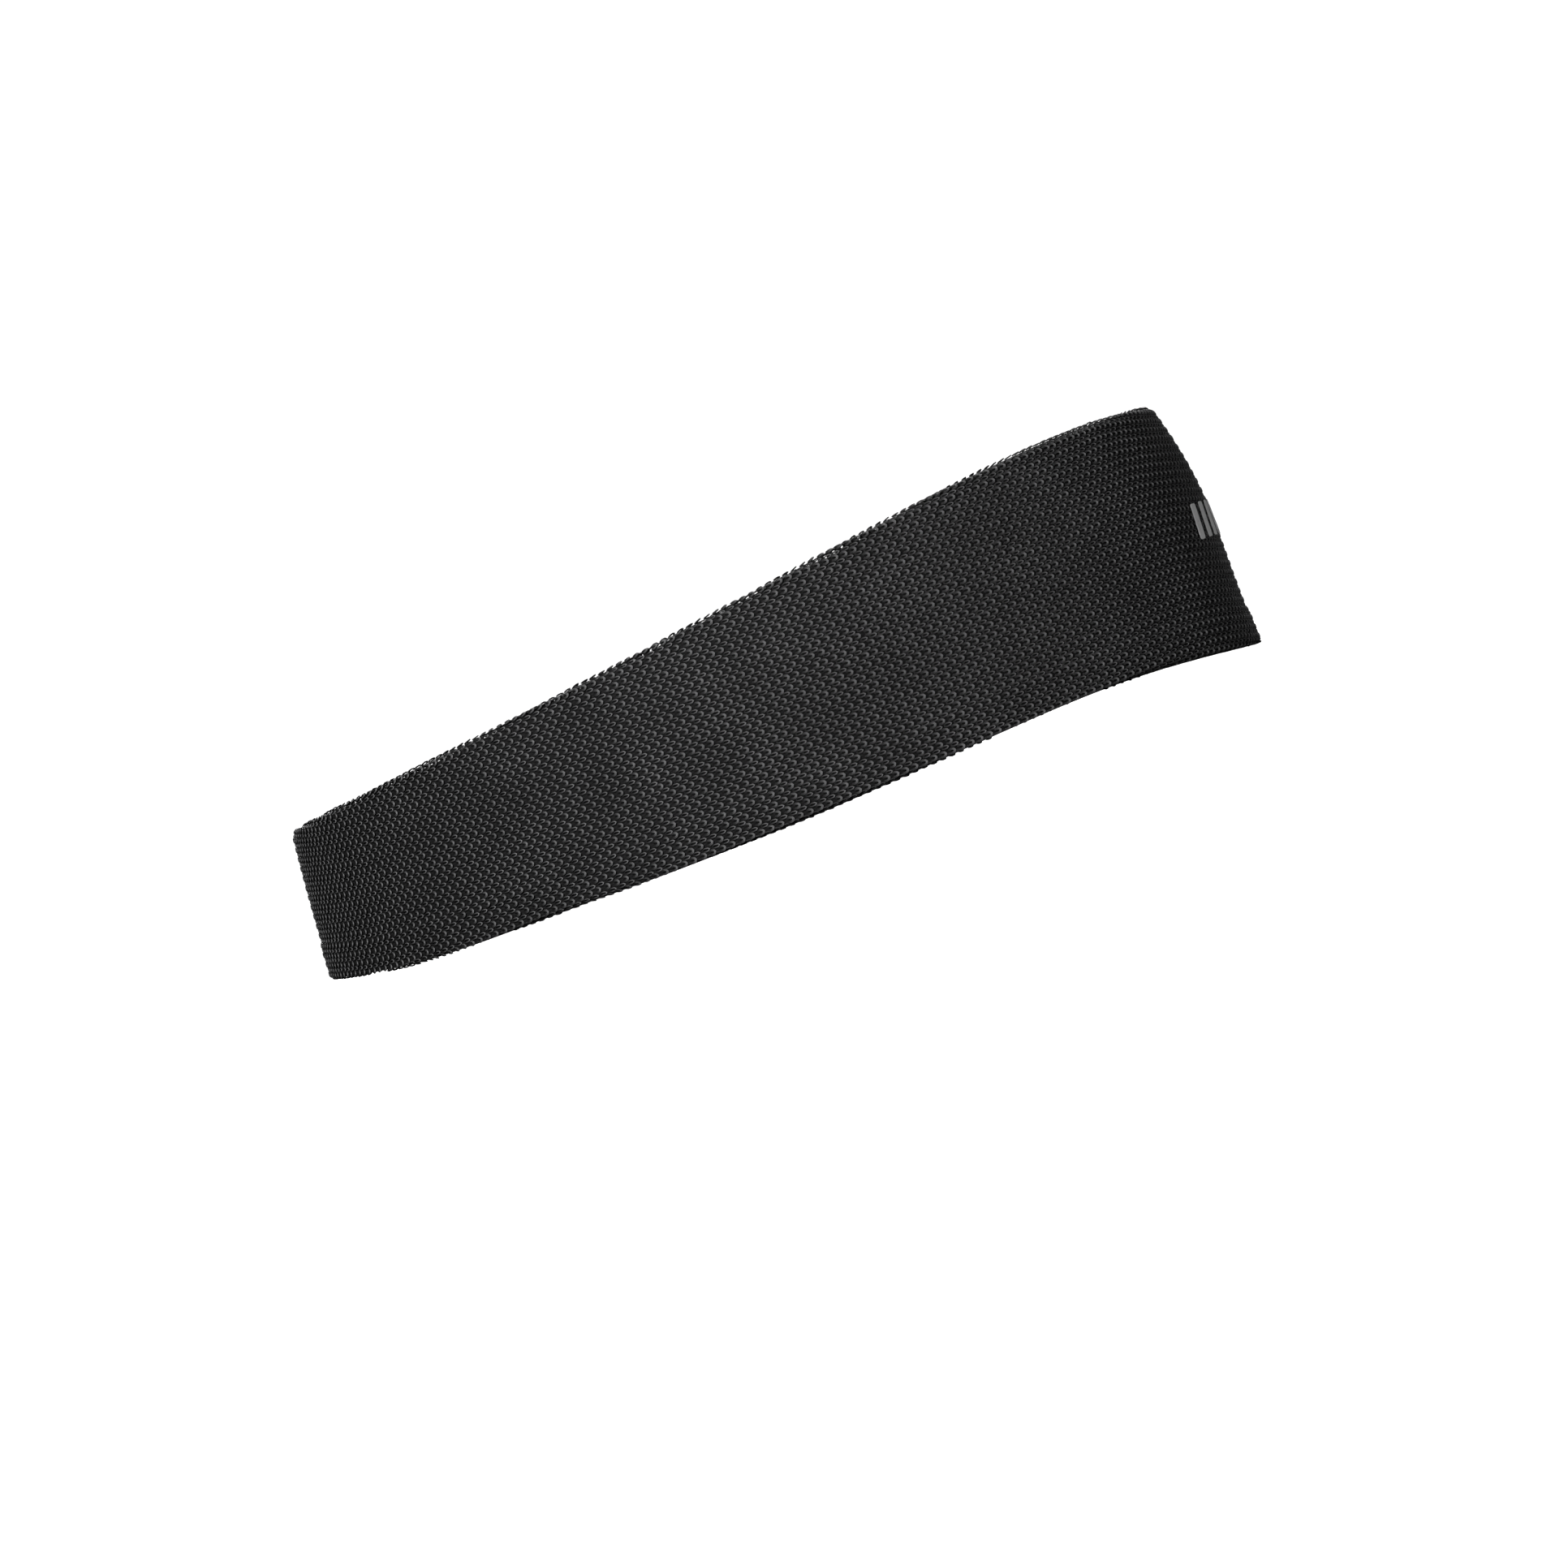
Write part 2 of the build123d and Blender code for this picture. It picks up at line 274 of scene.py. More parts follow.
    def lining(self, travel: Points, fall: Points, sunk: float = 0.0) -> Points:
        """Point of the lining's inner side, a distance down from its top edge and round its lower one."""
        s, x = self.s, self.side_x(travel)
        roll = 0.55 * MM
        start = self.top(x) - s.top_turn - 0.1 * MM
        flat = start - self.bottom(x) - roll
        under = np.maximum(fall - flat, 0.0)
        turn = np.minimum(under / roll, math.pi)
        flange = np.maximum(under - math.pi * roll, 0.0)
        height = start - np.minimum(fall, flat) - (roll - sunk) * np.sin(turn) + flange
        depth = s.thickness - sunk - (roll - sunk) * (1 - np.cos(turn))
        pad = np.clip((x - 47.8 * MM) / (5 * MM), 0.0, 1.0)
        above, below = fall - 5.5 * MM, flat - 12.5 * MM - fall
        inner = np.clip(above / (2.6 * MM), 0.0, 1.0) * np.clip(below / (2.6 * MM), 0.0, 1.0)
        puff = 0.6 * MM * pad * inner * inner * (3 - 2 * inner)
        t = travel / self.around * 2 * math.pi
        crease = 0.12 * MM * np.sin(61 * t + 3 * np.sin(7 * t)) * np.clip(fall / (5 * MM), 0.0, 1.0)
        soft = 0.10 * MM * np.sin(23 * t + height / (9 * MM))
        return self.place(travel, height, depth + puff + crease + soft)


def frames(surface: Surface, a: Points, b: Points) -> Place:
    """Points of a surface with the way along it and the way out of it.

    Args:
        surface: gives the point for a travel and a second distance.
        a: travels.
        b: second distances.

    Returns:
        Points, unit vectors along the travel, and unit vectors out of the cloth.
    """
    step = 0.05 * MM
    along = surface(a + step, b) - surface(a - step, b)
    across = surface(a, b + step) - surface(a, b - step)
    out = np.cross(along, across)
    along /= np.linalg.norm(along, axis=-1, keepdims=True)
    out /= np.linalg.norm(out, axis=-1, keepdims=True)
    return surface(a, b), along, out


# ---------------------------------------------------------------------------------- node trees


def live(sockets: bpy.types.bpy_prop_collection, name: str) -> Socket:
    """The socket of a name that the node's settings leave in use."""
    return next(s for s in sockets if s.name == name and s.enabled)


class TreeBuilder:
    """Adds nodes to a tree and links them."""

    def __init__(self, tree: bpy.types.NodeTree) -> None:
        """Keep the tree.

        Args:
            tree: a shader or geometry node tree.
        """
        self.tree = tree

    def add(self, kind: str, settings: dict | None = None, **inputs) -> bpy.types.Node:
        """Add a node.

        Args:
            kind: the node's type name.
            settings: its properties.
            **inputs: input sockets by name, underscores for spaces; a socket is linked, a value is set.

        Returns:
            The node.
        """
        node = self.tree.nodes.new(kind)
        for key, value in (settings or {}).items():
            setattr(node, key, value)
        for key, value in inputs.items():
            self.feed(node.inputs[key.replace("_", " ")], value)
        return node

    def feed(self, socket: Socket, value: Socket | float | tuple) -> None:
        """Link a socket to another, or set its value."""
        if isinstance(value, Socket):
            self.tree.links.new(value, socket)
        else:
            socket.default_value = value

    def keep(self, geometry: Socket, name: str, kind: str, value: Socket) -> Socket:
        """Store a named attribute on the points of a geometry and give the geometry back."""
        settings = {"data_type": kind, "domain": "POINT"}
        node = self.add("GeometryNodeStoreNamedAttribute", settings, Geometry=geometry, Name=name)
        self.feed(live(node.inputs, "Value"), value)
        return node.outputs[0]

    def maths(self, operation: str, *values: Socket | float) -> Socket:
        """A Math node's result."""
        node = self.add("ShaderNodeMath", {"operation": operation})
        for socket, value in zip(node.inputs, values):
            self.feed(socket, value)
        return node.outputs[0]


@dataclass(frozen=True)
class ThreadForm:
    """One short thread, which is laid many times."""

    lie: ThreadLie
    sweep: float  # degrees of the arc that it follows
    length: float
    width: float
    radius: float
    tilt: float = 0.0  # degrees, head up
    steps: int = 7
    sides: int = 4
    jitter: float = 0.06


class StitchTree:
    """Geometry Nodes that lay one thread on every point, turned to the cloth."""

    NUMBERS = ("Sweep", "Start", "Length", "Width", "Radius", "Tilt", "Stand", "Jitter")
    COUNTS = ("Steps", "Sides", "Seed")

    def __init__(self) -> None:
        """Build the tree."""
        self.tree = bpy.data.node_groups.new("lay_threads", "GeometryNodeTree")
        face = self.tree.interface
        face.new_socket("Geometry", in_out="INPUT", socket_type="NodeSocketGeometry")
        for name in self.NUMBERS:
            face.new_socket(name, in_out="INPUT", socket_type="NodeSocketFloat")
        for name in self.COUNTS:
            face.new_socket(name, in_out="INPUT", socket_type="NodeSocketInt")
        face.new_socket("Material", in_out="INPUT", socket_type="NodeSocketMaterial")
        face.new_socket("Geometry", in_out="OUTPUT", socket_type="NodeSocketGeometry")
        self._wire()

    def _wire(self) -> None:
        """Arc, tube, turn to the cloth, realise, material."""
        b = TreeBuilder(self.tree)
        given = b.add("NodeGroupInput").outputs
        arc = b.add("GeometryNodeCurveArc", {"mode": "RADIUS"}, Resolution=given["Steps"])
        spans = {"Radius": 1.0, "Start Angle": given["Start"], "Sweep Angle": given["Sweep"]}
        for name, value in spans.items():
            b.feed(live(arc.inputs, name), value)
        size = b.add("ShaderNodeCombineXYZ", X=given["Length"], Y=given["Width"], Z=1.0)
        stand = b.add("ShaderNodeCombineXYZ", X=given["Stand"], Y=given["Tilt"], Z=0.0)
        way = b.add("GeometryNodeSplineParameter").outputs["Factor"]
        told = b.keep(arc.outputs["Curve"], "way", "FLOAT", way)
        flat = b.add("GeometryNodeTransform", Geometry=told, Scale=size.outputs[0])
        stood = b.add("GeometryNodeTransform", Geometry=flat.outputs[0], Rotation=stand.outputs[0])
        ring = b.add("GeometryNodeCurvePrimitiveCircle", Resolution=given["Sides"])
        b.feed(live(ring.inputs, "Radius"), given["Radius"])
        spot = b.add("GeometryNodeInputPosition").outputs[0]
        round_it = b.keep(ring.outputs["Curve"], "ring", "FLOAT_VECTOR", spot)
        bent = stood.outputs[0]
        tube = b.add("GeometryNodeCurveToMesh", Curve=bent, Profile_Curve=round_it, Fill_Caps=True)
        along, out = (
            b.add("GeometryNodeInputNamedAttribute", {"data_type": "FLOAT_VECTOR"}, Name=name).outputs[0]
            for name in ("along", "out")
        )
        axes = {"primary_axis": "Z", "secondary_axis": "X"}
        turn = b.add("FunctionNodeAxesToRotation", axes, Primary_Axis=out, Secondary_Axis=along)
        chance = b.add("FunctionNodeRandomValue", {"data_type": "FLOAT"}, Seed=given["Seed"])
        b.feed(live(chance.inputs, "Min"), b.maths("SUBTRACT", 1.0, given["Jitter"]))
        b.feed(live(chance.inputs, "Max"), b.maths("ADD", 1.0, given["Jitter"]))
        laid = b.add(
            "GeometryNodeInstanceOnPoints",
            Points=given["Geometry"],
            Instance=tube.outputs[0],
            Rotation=turn.outputs[0],
            Scale=live(chance.outputs, "Value"),
        )
        real = b.add("GeometryNodeRealizeInstances", Geometry=laid.outputs[0])
        smooth = b.add("GeometryNodeSetShadeSmooth", Geometry=real.outputs[0])
        dressed = b.add("GeometryNodeSetMaterial", Geometry=smooth.outputs[0], Material=given["Material"])
        result = b.add("NodeGroupOutput")
        b.feed(result.inputs["Geometry"], dressed.outputs[0])

    def lay(self, form: ThreadForm, place: Place, finish: bpy.types.Material, seed: int) -> bpy.types.Mesh:
        """Lay a thread on every point.

        Args:
            form: the thread.
            place: points, ways along and ways out, as frames gives them.
            finish: the threads' material.
            seed: fixes the unevenness.

        Returns:
            One plain mesh of all the threads.
        """
        points, along, out = (np.ascontiguousarray(a.reshape(-1, 3), dtype=np.float32) for a in place)
        cloud = bpy.data.meshes.new("stitch_points")
        cloud.vertices.add(len(points))
        cloud.vertices.foreach_set("co", points.ravel())
        for name, value in (("along", along), ("out", out)):
            cloud.attributes.new(name, "FLOAT_VECTOR", "POINT").data.foreach_set("vector", value.ravel())
        holder = bpy.data.objects.new("stitch_points", cloud)
        bpy.context.collection.objects.link(holder)
        sweep, arched = math.radians(form.sweep), form.lie is ThreadLie.ARCH
        values = {
            "Sweep": sweep,
            "Start": math.pi / 2 - sweep / 2 if arched else -sweep / 2,
            "Length": form.length / 2,
            "Width": form.width if arched else form.width / 2,
            "Radius": form.radius,
            "Tilt": -math.radians(form.tilt),
            "Stand": math.pi / 2 if arched else 0.0,
            "Jitter": form.jitter,
            "Steps": form.steps,
            "Sides": form.sides,
            "Seed": seed,
            "Material": finish,
        }
        modifier = holder.modifiers.new("threads", "NODES")
        modifier.node_group = self.tree
        for item in self.tree.interface.items_tree:
            if item.in_out == "INPUT" and item.name in values:
                modifier[item.identifier] = values[item.name]
        graph = bpy.context.evaluated_depsgraph_get()
        mesh = bpy.data.meshes.new_from_object(holder.evaluated_get(graph), depsgraph=graph)
        holder.modifiers.clear()
        bpy.data.objects.remove(holder)
        bpy.data.meshes.remove(cloud)
        return mesh


# ---------------------------------------------------------------------------------- finishes


class SharedEffects:
    """Shader node groups that several finishes use."""

    def __init__(self) -> None:
        """Build each group once."""
        self.fibre = self._fibre()
        self.courses = self._courses()
        self.twist = self._twist()

    @staticmethod
    def _group(
        name: str, numbers: dict[str, float], outputs: tuple[str, ...]
    ) -> tuple[bpy.types.NodeTree, TreeBuilder]:
        """An empty group with number inputs.

        Args:
            name: the group's name.
            numbers: input names and defaults.
            outputs: names of the numbers that it puts out.

        Returns:
            The group and a builder for it.
        """
        group = bpy.data.node_groups.new(name, "ShaderNodeTree")
        for key, value in numbers.items():
            socket = group.interface.new_socket(key, in_out="INPUT", socket_type="NodeSocketFloat")
            socket.default_value = value
        for key in outputs:
            group.interface.new_socket(key, in_out="OUTPUT", socket_type="NodeSocketFloat")
        return group, TreeBuilder(group)

    def _fibre(self) -> bpy.types.NodeTree:
        """Uneven dye and fine hairs of spun yarn: Tone about 1, and Height for a bump."""
        numbers = {"Patch Scale": 90.0, "Fibre Scale": 4200.0, "Contrast": 0.5}
        group, b = self._group("yarn_fibre", numbers, ("Tone", "Height"))
        given = b.add("NodeGroupInput").outputs
        where = b.add("ShaderNodeTexCoord").outputs["Object"]
        patch = b.add("ShaderNodeTexNoise", Vector=where, Scale=given["Patch Scale"], Detail=3.0)
        fibre = b.add("ShaderNodeTexNoise", Vector=where, Scale=given["Fibre Scale"], Detail=2.0)
        mixed = b.maths("ADD", patch.outputs["Fac"], fibre.outputs["Fac"])
        centred = b.maths("SUBTRACT", mixed, 1.0)
        tone = b.maths("MULTIPLY_ADD", centred, given["Contrast"], 1.0)
        result = b.add("NodeGroupOutput")
        b.feed(result.inputs["Tone"], tone)
        b.feed(result.inputs["Height"], fibre.outputs["Fac"])
        return group

    def _courses(self) -> bpy.types.NodeTree:
        """Columns of V stitches on a cloth's own map, in metres: Height from 0 to 1."""
        numbers = {"Column": 0.9 * MM, "Row": 0.7 * MM, "Slant": 0.5}
        group, b = self._group("knit_courses", numbers, ("Height",))
        given = b.add("NodeGroupInput").outputs
        spot = b.add("ShaderNodeUVMap", {"uv_map": "cloth"}).outputs[0]
        parts = b.add("ShaderNodeSeparateXYZ", Vector=spot).outputs
        column = b.maths("DIVIDE", parts["X"], given["Column"])
        row = b.maths("DIVIDE", parts["Y"], given["Row"])
        side = b.maths("PINGPONG", column, 0.5)
        leaned = b.maths("MULTIPLY_ADD", side, given["Slant"], row)
        wave = b.maths("SINE", b.maths("MULTIPLY", leaned, 2 * math.pi))
        valley = b.maths("SINE", b.maths("MULTIPLY", side, 2 * math.pi))
        lifted = b.maths("MULTIPLY_ADD", wave, 0.5, 0.5)
        result = b.add("NodeGroupOutput")
        b.feed(result.inputs["Height"], b.maths("MULTIPLY", lifted, valley))
        return group

    def _twist(self) -> bpy.types.NodeTree:
        """Plies twisted round each other.

        Height goes from 0 in the grooves to 1, Head from 0 at the thread's ends to 1 at its middle, and
        Crest from 0 under it to 1 on top. The thread finishes paint shade with all three and bump with
        Height.
        """
        numbers = {"Plies": 3.0, "Turns": 2.0, "Top": 0.0}
        group, b = self._group("ply_twist", numbers, ("Height", "Head", "Crest"))
        given = b.add("NodeGroupInput").outputs
        spot = b.add("ShaderNodeAttribute", {"attribute_name": "ring"}).outputs["Vector"]
        parts = b.add("ShaderNodeSeparateXYZ", Vector=spot).outputs
        way = b.add("ShaderNodeAttribute", {"attribute_name": "way"}).outputs["Fac"]
        spin = b.maths("ARCTAN2", parts["Y"], parts["X"])
        turned = b.maths("MULTIPLY", spin, given["Plies"])
        wound = b.maths("MULTIPLY", b.maths("MULTIPLY", way, given["Turns"]), 2 * math.pi)
        half = b.maths("MULTIPLY", b.maths("ADD", turned, wound), 0.5)
        result = b.add("NodeGroupOutput")
        b.feed(result.inputs["Height"], b.maths("ABSOLUTE", b.maths("SINE", half)))
        middle = b.maths("SINE", b.maths("MULTIPLY", way, math.pi))
        b.feed(result.inputs["Head"], b.maths("POWER", middle, 3.0))
        top = b.maths("COSINE", b.maths("SUBTRACT", spin, given["Top"]))
        b.feed(result.inputs["Crest"], b.maths("MULTIPLY_ADD", top, 0.5, 0.5))
        return group


@dataclass(frozen=True)
class Finish:
    """What every finish has: two colours that a share mixes, the share holding uneven dye and in some
    finishes painted shade, and how light leaves them.
    """

    name: str
    dark: tuple[float, float, float]
    light: tuple[float, float, float]
    roughness: float
    sheen: float
    specular: float
    bump: float
    bump_depth: float

    def share(self, b: TreeBuilder, effects: SharedEffects) -> tuple[Socket, Socket]:
        """How much of the light colour shows, from uneven dye and any painted shade, and the height that
        the bump reads.
        """
        raise NotImplementedError

    def make(self, effects: SharedEffects) -> bpy.types.Material:
        """Build the material."""
        material = bpy.data.materials.new(self.name)
        material.use_nodes = True
        b = TreeBuilder(material.node_tree)
        surface = material.node_tree.nodes["Principled BSDF"]
        share, height = self.share(b, effects)
        colour = b.add("ShaderNodeMix", {"data_type": "RGBA"})
        for socket, value in ((0, share), (6, (*self.dark, 1.0)), (7, (*self.light, 1.0))):
            b.feed(colour.inputs[socket], value)
        bump = b.add("ShaderNodeBump", Strength=self.bump, Distance=self.bump_depth, Height=height)
        b.feed(surface.inputs["Base Color"], colour.outputs[2])
        b.feed(surface.inputs["Normal"], bump.outputs[0])
        surface.inputs["Roughness"].default_value = self.roughness
        surface.inputs["Sheen Weight"].default_value = self.sheen
        surface.inputs["Sheen Roughness"].default_value = 0.5
        surface.inputs["Specular IOR Level"].default_value = self.specular
        return material


@dataclass(frozen=True)
class ThreadFinish(Finish):
    """Spun polyester yarn, sewing thread or a film over them."""

    roughness: float = 0.62
    sheen: float = 0.25
    specular: float = 0.3
    bump: float = 0.25
    bump_depth: float = 0.05 * MM
    patch_scale: float = 90.0
    contrast: float = 0.6
    plies: int = 0
    turns: float = 3.0
    groove_shade: float = 0.4  # painted shade: how much darker the colour is made between the plies
    painted_end_light: float = 0.12  # painted shade: what is left of the colour's light at a thread's buried ends
    side: float = 0.10  # painted shade: what is left of it low on its sides
    # how sharply the painted highlight on the thread's top falls away down its sides
    painted_top_power: float = 2.0
    lie: ThreadLie = ThreadLie.ARCH

    def share(self, b: TreeBuilder, effects: SharedEffects) -> tuple[Socket, Socket]:
        """The yarn's uneven dye, with painted shade between its plies, at its buried ends and low on its
        sides, which leaves a painted highlight along its top.
        """
        fibre = b.add("ShaderNodeGroup", {"node_tree": effects.fibre})
        b.feed(fibre.inputs["Patch Scale"], self.patch_scale)
        b.feed(fibre.inputs["Contrast"], self.contrast)
        share = b.maths("SUBTRACT", fibre.outputs["Tone"], 0.5)
        height = fibre.outputs["Height"]
        if self.plies:
            twist = b.add("ShaderNodeGroup", {"node_tree": effects.twist})
            b.feed(twist.inputs["Plies"], float(self.plies))
            b.feed(twist.inputs["Turns"], self.turns)
            # Painted shade: darker in the grooves between the plies, at the thread's buried ends and down
            # its sides, so only its top keeps a painted highlight.
            groove_shade = b.maths("MULTIPLY_ADD", twist.outputs["Height"], self.groove_shade, 1.0 - self.groove_shade)
            twist.inputs["Top"].default_value = self.lie.top
            along = b.maths("MULTIPLY_ADD", twist.outputs["Head"], 1.0 - self.painted_end_light, self.painted_end_light)
            crest = b.maths("POWER", twist.outputs["Crest"], self.painted_top_power)
            lit = b.maths("MULTIPLY", along, b.maths("MULTIPLY_ADD", crest, 1.0 - self.side, self.side))
            share = b.maths("MULTIPLY", b.maths("MULTIPLY", share, groove_shade), lit)
            height = b.maths("MULTIPLY_ADD", fibre.outputs["Height"], 0.3, twist.outputs["Height"])
        return share, height


@dataclass(frozen=True)
class ClothFinish(Finish):
    """A knit or weave whose stitches are too fine to be pieces of their own."""

    roughness: float = 0.8
    sheen: float = 0.2
    specular: float = 0.25
    bump: float = 0.6
    bump_depth: float = 0.12 * MM
    column: float = 1.0 * MM
    row: float = 0.8 * MM

    def share(self, b: TreeBuilder, effects: SharedEffects) -> tuple[Socket, Socket]:
        """Lighter on the stitches than between them, as painted shade in the dips, times the fibre's
        uneven tone.
        """
        courses = b.add("ShaderNodeGroup", {"node_tree": effects.courses})
        b.feed(courses.inputs["Column"], self.column)
        b.feed(courses.inputs["Row"], self.row)
        fibre = b.add("ShaderNodeGroup", {"node_tree": effects.fibre})
        b.feed(fibre.inputs["Contrast"], 0.5)
        share = b.maths("MULTIPLY", courses.outputs["Height"], fibre.outputs["Tone"])
        return share, courses.outputs["Height"]


class Finishes:
    """Every finish on the headband, made once."""

    def __init__(self) -> None:
        """Make the materials."""
        fx = SharedEffects()
        # The yarn's pale light colour shows mostly as painted highlight on loop tops; painted shade takes
        # it down between plies, at buried ends and down the sides.
        self.yarn = ThreadFinish(
            "mesh_yarn", (0.003, 0.003, 0.0032), (0.620, 0.620, 0.630),
            roughness=0.36, sheen=0.0, specular=0.25, bump=0.9, contrast=0.4,
            plies=4, turns=3.0, side=0.04, painted_top_power=4.5, lie=ThreadLie.LOOP,
        ).make(fx)
        # The knit's backing cloth, black yarn coloured near black: painted shade deep in the holes between
        # the loops.
        self.ground = ClothFinish(
            "mesh_ground", (0.002, 0.002, 0.002), (0.010, 0.010, 0.0105),
            sheen=0.02, bump=0.5, column=2.0 * MM, row=0.5 * MM,
        ).make(fx)
        self.lining = ClothFinish(
            "jersey", (0.003, 0.003, 0.0032), (0.085, 0.085, 0.088), bump=0.9
        ).make(fx)
        self.terry = ThreadFinish(
            "terry", (0.03, 0.03, 0.031), (0.08, 0.08, 0.083),
            roughness=0.9, sheen=0.4, patch_scale=900.0,
        ).make(fx)
        # The sewing thread gets painted shade between its plies, at its ends and low on its sides too.
        self.thread = ThreadFinish(
            "sewing_thread", (0.006, 0.006, 0.0065), (0.340, 0.340, 0.345),
            roughness=0.40, sheen=0.0, bump=0.6,
            plies=3, turns=4.0, painted_end_light=0.6, side=0.5, painted_top_power=1.0,
        ).make(fx)
        self.film = ThreadFinish(
            "transfer_film", (0.80, 0.80, 0.805), (0.96, 0.96, 0.965),
            roughness=0.45, sheen=1.0, bump=0.5, patch_scale=1500.0, contrast=0.9,
        ).make(fx)
        self.satin = ClothFinish(
            "label_satin", (0.50, 0.50, 0.48), (0.74, 0.74, 0.72),
            roughness=0.45, sheen=0.3, bump=0.3, bump_depth=0.04 * MM, column=0.5 * MM, row=0.3 * MM,
        ).make(fx)


# ---------------------------------------------------------------------------------- mesh helpers


def sheet_mesh(
    name: str, points: Points, uv: Points, closed: bool, holes: Points | None = None
) -> bpy.types.Mesh:
    """A grid of quads with a map called cloth.

    Args:
        name: the mesh's name.
        points: rows by columns by xyz; a row goes along the travel.
        uv: rows by columns by two distances, with one more column if the rows close.
        closed: whether each row closes on itself.
        holes: rows by columns of quads, true where there is a hole.

    Returns:
        The mesh.
    """
    rows, columns = points.shape[:2]
    spans = columns if closed else columns - 1
    r, c = np.meshgrid(np.arange(rows - 1), np.arange(spans), indexing="ij")
    if holes is not None:
        r, c = r[~holes], c[~holes]
    n = (c + 1) % columns
    near, far = r * columns, (r + 1) * columns
    corners = np.stack([near + c, near + n, far + n, far + c], axis=-1)
    mesh = bpy.data.meshes.new(name)
    mesh.vertices.add(rows * columns)
    mesh.vertices.foreach_set("co", points.reshape(-1).astype(np.float32))
    faces = corners.reshape(-1, 4)
    mesh.loops.add(faces.size)
    mesh.loops.foreach_set("vertex_index", faces.ravel().astype(np.int32))
    mesh.polygons.add(len(faces))
    mesh.polygons.foreach_set("loop_start", np.arange(0, faces.size, 4, dtype=np.int32))
    mesh.update(calc_edges=True)
    spots = np.stack([uv[r, c], uv[r, c + 1], uv[r + 1, c + 1], uv[r + 1, c]], axis=-2)
    layer = mesh.uv_layers.new(name="cloth")
    layer.data.foreach_set("uv", spots.reshape(-1).astype(np.float32))
    mesh.polygons.foreach_set("use_smooth", np.ones(len(faces), dtype=bool))
    mesh.validate()
    return mesh


def put(name: str, mesh: bpy.types.Mesh, material: bpy.types.Material | None = None) -> bpy.types.Object:
    """Make an object of a mesh, at the origin."""
    mesh.name = name
    if material is not None:
        mesh.materials.clear()
        mesh.materials.append(material)
    piece = bpy.data.objects.new(name, mesh)
    bpy.context.collection.objects.link(piece)
    return piece


def joined(name: str, meshes: list[bpy.types.Mesh], material: bpy.types.Material) -> bpy.types.Object:
    """One object of several meshes that share a finish."""
    points, faces, sizes, start = [], [], [], 0
    kept = {mark: [] for mark in THREAD_MARKS if all(mark in mesh.attributes for mesh in meshes)}
    for mesh in meshes:
        for mark, values in kept.items():
            _, field, width = THREAD_MARKS[mark]
            values.append(np.empty(len(mesh.vertices) * width, dtype=np.float32))
            mesh.attributes[mark].data.foreach_get(field, values[-1])
        flat = np.empty(len(mesh.vertices) * 3, dtype=np.float32)
        mesh.vertices.foreach_get("co", flat)
        loops = np.empty(len(mesh.loops), dtype=np.int32)
        mesh.loops.foreach_get("vertex_index", loops)
        totals = np.empty(len(mesh.polygons), dtype=np.int32)
        mesh.polygons.foreach_get("loop_total", totals)
        points.append(flat)
        faces.append(loops + start)
        sizes.append(totals)
        start += len(mesh.vertices)
        bpy.data.meshes.remove(mesh)
    points, faces, sizes = (np.concatenate(a) for a in (points, faces, sizes))
    whole = bpy.data.meshes.new(name)
    whole.vertices.add(len(points) // 3)
    whole.vertices.foreach_set("co", points)
    whole.loops.add(len(faces))
    whole.loops.foreach_set("vertex_index", faces)
    whole.polygons.add(len(sizes))
    whole.polygons.foreach_set("loop_start", np.concatenate([[0], np.cumsum(sizes)[:-1]]).astype(np.int32))
    whole.update(calc_edges=True)
    whole.polygons.foreach_set("use_smooth", np.ones(len(sizes), dtype=bool))
    for mark, values in kept.items():
        kind, field, _ = THREAD_MARKS[mark]
        whole.attributes.new(mark, kind, "POINT").data.foreach_set(field, np.concatenate(values))
    return put(name, whole, material)


def thicken(piece: bpy.types.Object, amount: float) -> None:
    """Give a sheet its cloth's thickness, under its outer side."""
    solid = piece.modifiers.new("cloth", "SOLIDIFY")
    solid.thickness, solid.offset = amount, -1.0


def report(piece: bpy.types.Object) -> None:
    """Log a finished piece."""
    LOG.info("%s: %d vertices", piece.name, len(piece.data.vertices))


# ---------------------------------------------------------------------------------- sub-assemblies


